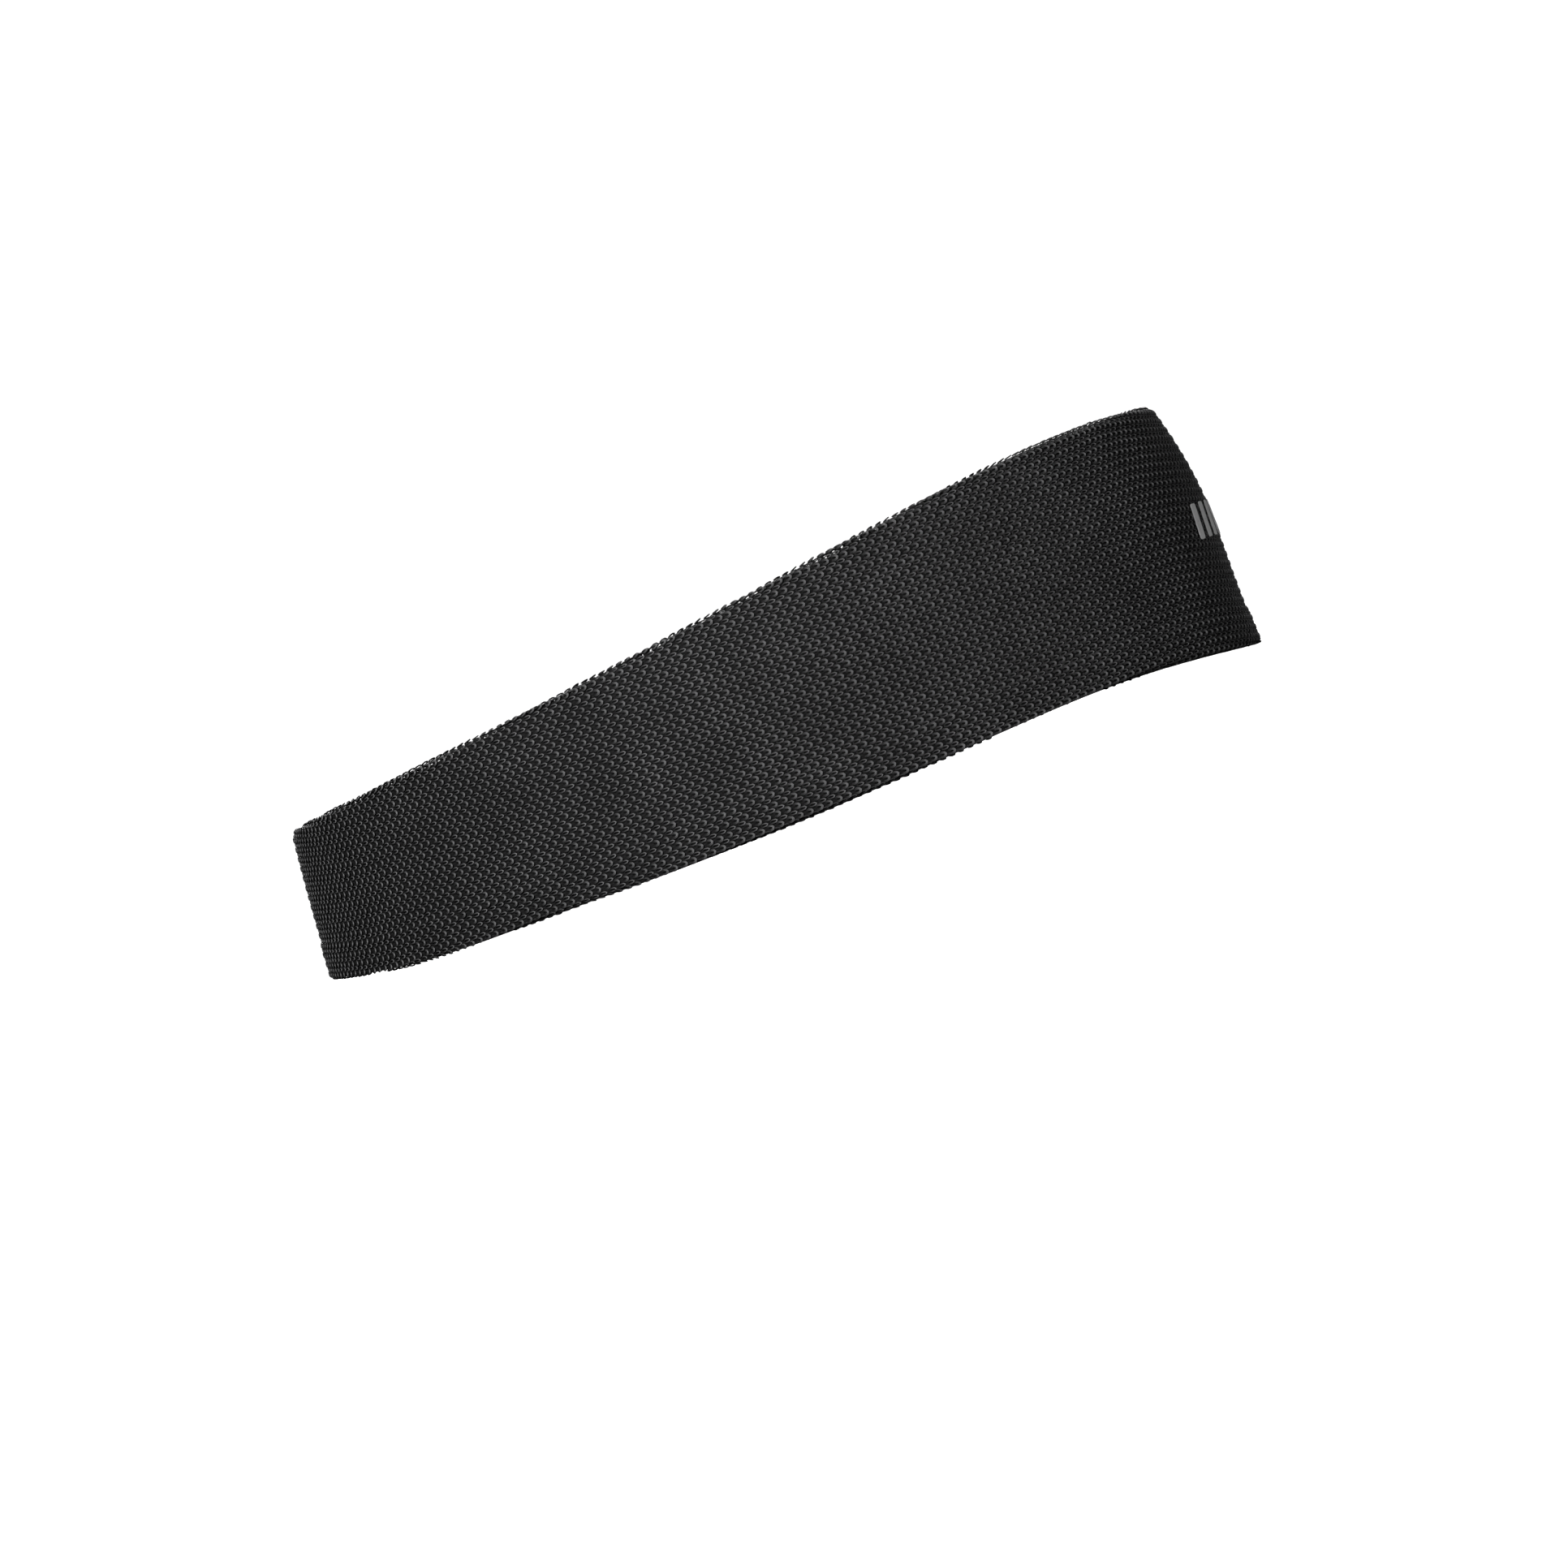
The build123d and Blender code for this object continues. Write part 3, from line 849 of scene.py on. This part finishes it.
@dataclass
class MeshShell:
    """The black mesh knit: its ground cloth and the yarn loops that stand on it."""

    wall: LoopWall
    trees: StitchTree
    finishes: Finishes
    pitch: float = 2.05 * MM  # along the band
    row: float = 1.0 * MM  # across it
    ground_sunk: float = 0.62 * MM
    ground_rise: float = 0.30 * MM  # how much less deep it lies round the edges
    ground_cloth: float = 0.15 * MM
    tick: ThreadForm = ThreadForm(ThreadLie.LOOP, 270, 1.72 * MM, 1.18 * MM, 0.13 * MM, 12)
    inner_tick: ThreadForm = ThreadForm(ThreadLie.LOOP, 270, 1.26 * MM, 0.72 * MM, 0.13 * MM, 14)
    oval: ThreadForm = ThreadForm(ThreadLie.LOOP, 310, 1.60 * MM, 0.66 * MM, 0.16 * MM, 5)
    oval_sunk: float = 0.14 * MM  # how much deeper the ovals lie than the ticks
    scallop: float = 0.13 * MM
    crest_open: float = 0.55  # how near the very edge the ground's holes start, 1 at the edge

    def ground(self) -> bpy.types.Object:
        """The cloth behind the loops, from its inside hem over the top edge and round the lower one."""
        wall, columns, rows = self.wall, 2 * self.columns, 76
        travel = (np.arange(columns) + 0.5) / columns * wall.around
        up, down = wall.climb_ends(travel)
        first = -down - math.pi * wall.s.bottom_roll - wall.s.bottom_turn + 1.0 * MM
        last = up + math.pi * wall.s.top_roll + wall.s.top_turn - 1.5 * MM
        share = np.linspace(0.0, 1.0, rows)[:, None]
        climb = first + (last - first) * share
        sunk = self.ground_sunk - self.ground_rise * self.rolled(travel, climb)
        points = wall.shell(travel + 0 * share, climb, sunk)
        across = np.concatenate([climb, climb[:, :1]], axis=1)
        along = np.linspace(0.0, wall.around, columns + 1) + 0 * share
        crest = self.rolled(travel, (climb[1:] + climb[:-1]) / 2) * (climb[1:] > 0)
        holes = (crest > self.crest_open) & (np.arange(columns) % 2 == 0)
        mesh = sheet_mesh("shell_ground", points, np.stack([along, across], -1), True, holes)
        piece = put("shell_ground", mesh, self.finishes.ground)
        thicken(piece, self.ground_cloth)
        return piece

    @property
    def columns(self) -> int:
        """How many stitches go round the loop."""
        return round(self.wall.around / self.pitch)

    def rolled(self, travel: Points, climb: Points) -> Points:
        """How far round an edge's roll the cloth is: 0 on the flat, 1 at the very edge."""
        s, (up, down) = self.wall.s, self.wall.climb_ends(travel)
        top_turn = np.clip((climb - up) / s.top_roll, 0.0, math.pi)
        low_turn = np.clip((-climb - down) / s.bottom_roll, 0.0, math.pi)
        return np.sin(top_turn) + np.sin(low_turn)

    def stitched(self, travel: Points, climb: Points, sunk: float) -> Points:
        """Point of the knit's outer side, with a scallop for every stitch round the edges."""
        wave = np.cos(2 * math.pi * travel / self.wall.around * self.columns)
        return self.wall.shell(travel, climb, sunk - self.scallop * wave * self.rolled(travel, climb))

    def lattice(self, section: Section, odd: bool) -> tuple[Points, Points]:
        """Travels and climbs of one kind of loop in a section.

        Args:
            section: the stretch of the band.
            odd: the rows between, which are set half a pitch on.

        Returns:
            Two flat arrays.
        """
        wall, (start, end) = self.wall, section.value
        pitch = wall.around / self.columns
        first, last = math.ceil(start * self.columns), math.ceil(end * self.columns)
        travels = (np.arange(first, last) + (0.5 if odd else 0.0)) * pitch
        rows = np.arange(-40 + odd, 60, 2) * self.row
        t, c = np.meshgrid(travels, rows)
        t, c = t.ravel(), c.ravel()
        up, down = wall.climb_ends(t)
        low = -down - 0.75 * math.pi * wall.s.bottom_roll
        high = up + math.pi * wall.s.top_roll + wall.s.top_turn - 0.8 * MM
        kept = (c > low) & (c < high)
        return t[kept], c[kept]

    def loops(self, section: Section, seed: int) -> bpy.types.Object:
        """The yarn loops of one section."""
        chance = np.random.default_rng(seed)
        meshes = []
        for odd, forms in ((False, (self.tick, self.inner_tick)), (True, (self.oval,))):
            travel, climb = self.lattice(section, odd)
            travel = travel + chance.normal(0.0, 0.05 * MM, travel.shape)
            climb = climb + chance.normal(0.0, 0.04 * MM, climb.shape)
            first = forms[0]
            lift = first.length / 2 * math.sin(math.radians(first.tilt)) + odd * self.oval_sunk
            place = frames(lambda a, b: self.stitched(a, b, first.radius + lift), travel, climb)
            meshes += [self.trees.lay(form, place, self.finishes.yarn, seed) for form in forms]
        return joined(f"knit_{section.name.lower()}", meshes, self.finishes.yarn)

    def build(self) -> None:
        wall = self.wall
        ground = self.ground()
        loops = [self.loops(section, 11 + i) for i, section in enumerate(Section)]
        for piece in (ground, *loops):
            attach(piece, BAND)
            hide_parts("outer_shell")
            report(piece)
        heights = wall.top(wall.side_x(wall.travels)) - wall.bottom(wall.side_x(wall.travels))


@dataclass
class Lining:
    """The smooth jersey inside."""

    wall: LoopWall
    finishes: Finishes
    cloth: float = 0.45 * MM

    def build(self) -> None:
        wall, columns, rows = self.wall, 540, 60
        travel = np.arange(columns) / columns * wall.around
        x = wall.side_x(travel)
        drop = wall.top(x) - wall.s.top_turn - wall.bottom(x)
        last = drop + wall.s.bottom_turn - 0.5 * MM
        share = np.linspace(0.0, 1.0, rows)[:, None]
        fall = last * share
        points = wall.lining(travel + 0 * share, fall)
        down = np.concatenate([fall, fall[:, :1]], axis=1)
        along = np.linspace(0.0, wall.around, columns + 1) + 0 * share
        mesh = sheet_mesh("lining", points, np.stack([along, down], -1), True)
        piece = put("lining", mesh, self.finishes.lining)
        thicken(piece, self.cloth)
        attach(piece, BAND)
        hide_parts("inner_lining")
        report(piece)


@dataclass
class SweatPad:
    """The terry pad between the cloths at the forehead."""

    wall: LoopWall
    finishes: Finishes
    end_x: float = 45.0 * MM
    top_drop: float = 12.0 * MM
    bottom_drop: float = 10.0 * MM
    depth: float = 0.9 * MM
    cloth: float = 1.2 * MM

    def side(self, columns: int, rows: int, face: float) -> Points:
        """One face of the pad, crowned and pulled in to its rim."""
        wall = self.wall
        reach = wall.travel_to(self.end_x)
        u = np.linspace(-1.0, 1.0, columns)[None, :]
        v = np.linspace(-1.0, 1.0, rows)[:, None]
        travel = wall.around / 2 + u * (wall.around / 2 - reach) + 0 * v
        x = wall.side_x(travel)
        low, high = wall.bottom(x) + self.bottom_drop, wall.top(x) - self.top_drop
        height = (low + high) / 2 + v * (high - low) / 2
        crown = ((1 - np.abs(u) ** 40) * (1 - np.abs(v) ** 12)) ** 0.5
        nub = 0.04 * MM * np.sin(travel / (0.35 * MM)) * np.sin(height / (0.35 * MM))
        depth = self.depth + self.cloth / 2 + face * (crown * (self.cloth / 2 - 0.05 * MM) + nub * crown)
        return wall.place(travel, height, depth)

    def build(self) -> None:
        columns, rows = 360, 56
        outer, inner = self.side(columns, rows, -1.0), self.side(columns, rows, 1.0)
        flat = np.zeros((rows, columns, 2))
        faces = {"pad_outer": outer, "pad_inner": inner[::-1]}
        meshes = [sheet_mesh(name, points, flat, False) for name, points in faces.items()]
        piece = joined("sweat_pad", meshes, self.finishes.terry)
        weld = piece.modifiers.new("rim", "WELD")
        weld.merge_threshold = 0.01 * MM
        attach(piece, BAND)
        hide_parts("forehead_sweat_pad")
        report(piece)


@dataclass
class Seams:
    """Every row of sewing thread."""

    wall: LoopWall
    trees: StitchTree
    finishes: Finishes
    dash: ThreadForm = ThreadForm(ThreadLie.ARCH, 150, 2.1 * MM, 0.22 * MM, 0.13 * MM, steps=7, sides=6)
    looper: ThreadForm = ThreadForm(ThreadLie.ARCH, 140, 2.7 * MM, 0.20 * MM, 0.11 * MM, steps=7, sides=5)
    binding: ThreadForm = ThreadForm(ThreadLie.ARCH, 160, 1.5 * MM, 0.5 * MM, 0.12 * MM, steps=6, sides=5)
    satin: ThreadForm = ThreadForm(ThreadLie.ARCH, 150, 1.9 * MM, 0.25 * MM, 0.12 * MM, steps=6, sides=5)
    stand: float = 0.12 * MM  # how far over the lining's plane the stitches are laid

    def inner_face(self, travel: Points, drop: Points) -> Points:
        """Point on the inner face, a drop below the top edge."""
        height = self.wall.top(self.wall.side_x(travel)) - drop
        return self.wall.place(travel, height, self.wall.s.thickness + self.stand + 0 * height)

    def drop_to_foot(self, travel: Points | float) -> Points:
        """How far the lower edge lies under the top one."""
        x = self.wall.side_x(travel)
        return self.wall.top(x) - self.wall.bottom(x)

    def over_allowance(self, travel: Points, rise: Points) -> Points:
        """Point on the turned-up cloths' edge, a rise above the lower edge, facing in."""
        height = self.wall.bottom(self.wall.side_x(travel)) - rise
        return self.wall.place(travel, height, 2.1 * MM + 0 * height)

    def between(self, travel: Points, drop: Points) -> Points:
        """Point on the back of the shell, a drop below the top edge."""
        height = self.wall.top(self.wall.side_x(travel)) - drop
        return self.wall.place(travel, height, 1.15 * MM + 0 * height)

    @staticmethod
    def turned(place: Place, degrees: float) -> Place:
        """Turn the ways along in the plane of the cloth."""
        points, along, out = place
        turn = np.radians(np.broadcast_to(degrees, along.shape[:1]))[:, None]
        across = np.cross(out, along)
        return points, np.cos(turn) * along + np.sin(turn) * across, out

    def row(
        self, surface: Surface, form: ThreadForm, travel: Points, drop: Points, degrees: float, seed: int
    ) -> bpy.types.Mesh:
        """Lay one row of stitches.

        Args:
            surface: what they lie on.
            form: the stitch.
            travel: their travels.
            drop: their second distances.
            degrees: how far each is turned from the travel.
            seed: fixes the unevenness.

        Returns:
            The stitches' mesh.
        """
        travel, drop = np.broadcast_arrays(np.asarray(travel, float), np.asarray(drop, float))
        place = self.turned(frames(surface, travel.ravel(), drop.ravel()), degrees)
        return self.trees.lay(form, place, self.finishes.thread, seed)

    def steps(self, start: float, end: float, pitch: float) -> Points:
        """Middles of whole stitches between two distances."""
        count = max(1, round((end - start) / pitch))
        return start + (np.arange(count) + 0.5) * (end - start) / count

    def flatlock(self) -> list[bpy.types.Mesh]:
        """Three needle rows and the looper threads across them, round the top of the lining."""
        middle, half, pitch = self.wall.s.top_turn, 2.1 * MM, 2.4 * MM
        travel = self.steps(0.0, self.wall.around, pitch)
        rows = [
            self.row(self.inner_face, self.dash, travel, middle + offset, 0.0, 40 + i)
            for i, offset in enumerate((-half, 0.0, half))
        ]
        for i, side in enumerate((-1, 1)):
            for j, lean in enumerate((52.0, -52.0)):
                shift, drop = travel + j * pitch / 2, middle + side * half / 2
                rows.append(self.row(self.inner_face, self.looper, shift, drop, lean, 50 + 2 * i + j))
        return rows

    def pad_outline(self) -> list[bpy.types.Mesh]:
        """Running stitches through the lining round the pad."""
        wall, pitch, high, foot_gap = self.wall, 2.9 * MM, 15.4 * MM, 12.9 * MM
        reach = wall.travel_to(47.5 * MM)
        travel = self.steps(reach, wall.around - reach, pitch)
        low = self.drop_to_foot(travel) - foot_gap
        rows = [self.row(self.inner_face, self.dash, travel, high, 0.0, 60)]
        rows.append(self.row(self.inner_face, self.dash, travel, low, 0.0, 61))
        for i, side in enumerate((reach, wall.around - reach)):
            drops = self.steps(high, self.drop_to_foot(side) - foot_gap, pitch)
            rows.append(self.row(self.inner_face, self.dash, side, drops, 90.0, 62 + i))
        return rows

    def back_column(self, surface: Surface, top: float, foot: float) -> list[bpy.types.Mesh]:
        """A flat seam up the nape: two needle rows and the zigzag between."""
        drops = self.steps(top, foot, 2.3 * MM)
        rows = [self.row(surface, self.dash, side * 1.7 * MM, drops, 90.0, 70 + side) for side in (-1, 1)]
        for j, lean in enumerate((35.0, -35.0)):
            rows.append(self.row(surface, self.looper, 0.0, drops + j * 1.1 * MM, lean, 72 + j))
        return rows

    def tacks(self) -> list[bpy.types.Mesh]:
        """Two dense bars of satin stitches at the ends of the back seam."""
        foot = self.drop_to_foot(0.0)
        spans = ((1.7 * MM, 5.3 * MM), (foot - 5.3 * MM, foot - 1.7 * MM))
        return [
            self.row(self.inner_face, self.satin, 0.0, self.steps(a, b, 0.3 * MM), 4.0, 80 + i)
            for i, (a, b) in enumerate(spans)
        ]

    def label_row(self) -> list[bpy.types.Mesh]:
        """Running stitches through the label's upper end."""
        travel = self.steps(-8.6 * MM, 8.6 * MM, 2.1 * MM)
        depth = self.wall.s.thickness + 0.55 * MM

        def over_label(a: Points, b: Points) -> Points:
            return self.wall.place(a, 24.0 * MM - b, depth + 0 * b)

        drops = (0.0, 0.7 * MM)
        return [self.row(over_label, self.dash, travel, drop, 0.0, 90 + i) for i, drop in enumerate(drops)]

    def build(self) -> None:
        """Make and seat every seam."""
        foot = self.drop_to_foot(0.0)
        travel = self.steps(0.0, self.wall.around, 1.5 * MM)
        made = {
            "top_lining_seam": self.flatlock(),
            "pad_stitching": self.pad_outline(),
            "lining_back_seam": self.back_column(self.inner_face, 12.8 * MM, foot - 5.9 * MM),
            "shell_back_seam": self.back_column(self.between, 1.6 * MM, foot - 9.8 * MM),
            "back_bar_tacks": self.tacks(),
            "label_stitching": self.label_row(),
            "bottom_overlock": [
                self.row(self.over_allowance, self.binding, travel, -8.2 * MM, 90.0, 95),
                self.row(self.over_allowance, self.looper, travel, -8.5 * MM, 40.0, 96),
            ],
        }
        for node, meshes in made.items():
            piece = joined(f"{node}_threads", meshes, self.finishes.thread)
            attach(piece, BAND)
            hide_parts(node)
            report(piece)


@dataclass
class FrontMark:
    """A plain row of slanted transfer bars round the middle of the forehead."""

    wall: LoopWall
    finishes: Finishes
    centre: float = 27.5 * MM
    count: int = 9
    pitch: float = 5.6 * MM
    width: float = 3.0 * MM
    height: float = 7.5 * MM
    slant: float = 2.4 * MM
    corner: float = 0.75 * MM
    proud: float = 0.31 * MM
    film: float = 0.12 * MM
    knit_pitch: float = 2.05 * MM
    knit_row: float = 2.0 * MM
    relief: float = 0.03 * MM  # how far the knit under it shows through

    def outline(self) -> Points:
        """Outline of a bar about its middle: a rounded upright, leaned over."""
        points, w, h = [], self.width / 2 - self.corner, self.height / 2 - self.corner
        for quarter, (sx, sy) in enumerate(((1, 1), (-1, 1), (-1, -1), (1, -1))):
            for step in range(7):
                turn = math.pi / 2 * (quarter + step / 6)
                cos, sin = math.cos(turn), math.sin(turn)
                points.append((sx * w + self.corner * cos, sy * h + self.corner * sin))
        outline = np.array(points)
        outline[:, 0] += outline[:, 1] * self.slant / self.height
        return outline

    def bar(self, middle: float) -> bpy.types.Mesh:
        """One bar of film that follows the knit under it.

        Args:
            middle: its travel from the middle of the forehead.

        Returns:
            A closed mesh.
        """
        outline = self.outline()
        scale = np.concatenate([[1.0, 1.0, 0.975], np.linspace(0.93, 0.03, 8)])
        grid = outline[None] * scale[:, None, None]
        travel = self.wall.around / 2 + middle + grid[..., 0]
        height = self.centre + grid[..., 1]
        columns, rows = travel / self.knit_pitch, height / self.knit_row
        relief = self.relief * np.sin(columns * 2 * math.pi) * np.sin(rows * 2 * math.pi)
        depth = -self.proud - self.wall.wave(travel, height) + relief
        depth[0] += self.film
        unmapped = np.zeros((*travel.shape, 2)).repeat(2, 1)
        return sheet_mesh("bar", self.wall.place(travel, height, depth), unmapped, True)

    def build(self) -> None:
        """Make and seat the mark."""
        middles = (np.arange(self.count) - (self.count - 1) / 2) * self.pitch
        piece = joined("front_mark_film", [self.bar(m) for m in middles], self.finishes.film)
        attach(piece, BAND)
        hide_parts("front_mark")
        report(piece)


@dataclass
class CareLabel:
    """The folded satin label that hangs at the nape, blank on both sides."""

    finishes: Finishes
    cloth: float = 0.14 * MM
    bow: float = 0.35 * MM
    fold: float = 0.19 * MM

    def build(self) -> None:
        low, high = (np.array(c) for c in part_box("care_label"))
        middle_x, foot, head = (low[0] + high[0]) / 2, low[2] + self.fold, high[2] - 0.05 * MM
        drop = head - foot
        run = np.linspace(0.0, 2 * drop + math.pi * self.fold, 61)[:, None]
        across = np.linspace(low[1], high[1], 37)[None, :]
        turn = np.clip((run - drop) / self.fold, 0.0, math.pi)
        back = np.maximum(run - drop - math.pi * self.fold, 0.0)
        z = head - np.minimum(run, drop) - self.fold * np.sin(turn) + back
        share = np.clip((head - z) / drop, 0.0, 1.0)
        curl = self.bow * np.sin(share * math.pi * 1.4) + 0.5 * MM * share**2 * np.cos(across / (4.5 * MM))
        x = middle_x + self.fold * np.cos(turn) + curl
        points = np.stack(np.broadcast_arrays(x, across, z), axis=-1)
        uv = np.stack(np.broadcast_arrays(across, run), axis=-1)
        piece = put("care_label_satin", sheet_mesh("label", points, uv, False), self.finishes.satin)
        thicken(piece, self.cloth)
        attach(piece, LABEL)
        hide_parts("care_label")
        report(piece)


# ---------------------------------------------------------------------------------- studio


@dataclass(frozen=True)
class Studio:
    """Pale floor, soft light and the camera."""

    distance: float = 2.0
    view_width: float = 0.3204  # what the camera takes in at the loop's middle
    target: tuple[float, float, float] = (-0.0007, 0.0, 0.0083)
    roll: float = 21.24  # degrees
    key_watts: float = 3.5
    fill_watts: float = 6.0
    back_watts: float = 27.0
    surround: float = 0.03
    floor_pale: float = 0.92  # as the eye sees it
    floor_bounce: float = 0.20  # as the band is lit by it
    floor_glow: float = 0.82  # keeps the floor pale to the eye, and lights nothing
    far_glow: float = 1.05  # the same where it is seen edge-on

    def camera(self) -> None:
        """A long lens level with the loop, rolled as the band is worn."""
        data = bpy.data.cameras.new("camera")
        data.sensor_width = 36.0
        data.lens = data.sensor_width * self.distance / self.view_width
        data.clip_start, data.clip_end = 0.05, 60.0
        camera = bpy.data.objects.new("camera", data)
        bpy.context.collection.objects.link(camera)
        camera.location = Vector(self.target) - Vector((0.0, self.distance, 0.0))
        camera.rotation_euler = (math.pi / 2, math.radians(self.roll), 0.0)
        bpy.context.scene.camera = camera

    def lamp(self, name: str, spot: tuple[float, float, float], size: float, watts: float) -> None:
        """A square area light that faces the band."""
        data = bpy.data.lights.new(name, "AREA")
        data.size, data.energy = size, watts
        lamp = bpy.data.objects.new(name, data)
        bpy.context.collection.objects.link(lamp)
        lamp.location = spot
        lamp.visible_camera = False
        aim = Vector((0.0, 0.0, 0.03)) - Vector(spot)
        lamp.rotation_euler = aim.to_track_quat("-Z", "Y").to_euler()

    def floor(self) -> None:
        """A large pale sheet under the band."""
        mesh = bpy.data.meshes.new("floor")
        far = 30.0
        corners = [(-far, -far, 0), (far, -far, 0), (far, far, 0), (-far, far, 0)]
        mesh.from_pydata(corners, [], [(0, 1, 2, 3)])
        material = bpy.data.materials.new("floor")
        material.use_nodes = True
        surface = material.node_tree.nodes["Principled BSDF"]
        surface.inputs["Roughness"].default_value = 0.9
        surface.inputs["Specular IOR Level"].default_value = 0.0
        surface.inputs["Emission Color"].default_value = (1.0, 1.0, 1.0, 1.0)
        b = TreeBuilder(material.node_tree)
        seen = b.add("ShaderNodeLightPath").outputs["Is Camera Ray"]
        facing = b.add("ShaderNodeLayerWeight", Blend=0.5).outputs["Facing"]
        edge_on = b.maths("POWER", facing, 4.0)
        grazing = b.maths("MULTIPLY_ADD", edge_on, self.far_glow - self.floor_glow, self.floor_glow)
        b.feed(surface.inputs["Emission Strength"], b.maths("MULTIPLY", seen, grazing))
        tone = b.maths("MULTIPLY_ADD", seen, self.floor_pale - self.floor_bounce, self.floor_bounce)
        grey = b.add("ShaderNodeCombineColor", Red=tone, Green=tone, Blue=tone)
        b.feed(surface.inputs["Base Color"], grey.outputs[0])
        put("floor", mesh, material)

    def world(self) -> None:
        """White behind the band, dimmer as a light."""
        world = bpy.data.worlds.new("world")
        bpy.context.scene.world = world
        world.use_nodes = True
        tree = world.node_tree
        tree.nodes.clear()
        b = TreeBuilder(tree)
        seen = b.add("ShaderNodeBackground", Color=(1.0, 1.0, 1.0, 1.0), Strength=1.1)
        lights = b.add("ShaderNodeBackground", Color=(1.0, 1.0, 1.0, 1.0), Strength=self.surround)
        path = b.add("ShaderNodeLightPath")
        mix = b.add("ShaderNodeMixShader")
        b.feed(mix.inputs[0], path.outputs["Is Camera Ray"])
        b.feed(mix.inputs[1], lights.outputs[0])
        b.feed(mix.inputs[2], seen.outputs[0])
        out = b.add("ShaderNodeOutputWorld")
        b.feed(out.inputs["Surface"], mix.outputs[0])

    def build(self) -> None:
        """Set up the studio."""
        self.camera()
        self.floor()
        self.world()
        self.lamp("key", (-0.20, -0.55, 0.26), 0.1, self.key_watts)
        self.lamp("fill", (1.5, -1.15, 0.5), 0.5, self.fill_watts)
        self.lamp("back", (0.0, 2.1, 0.85), 1.1, self.back_watts)
        bpy.context.scene.view_settings.view_transform = "Standard"


def main() -> None:
    """Build the headband, then the studio."""
    logging.basicConfig(level=logging.INFO, format="%(name)s: %(message)s")
    low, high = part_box("outer_shell")
    wall = LoopWall(LoopSizes((high[0] - low[0]) / 2, (high[1] - low[1]) / 2))
    finishes, trees = Finishes(), StitchTree()
    Studio().build()
    MeshShell(wall, trees, finishes).build()
    Lining(wall, finishes).build()
    SweatPad(wall, finishes).build()
    Seams(wall, trees, finishes).build()
    FrontMark(wall, finishes).build()
    CareLabel(finishes).build()


if __name__ == "__main__":
    main()
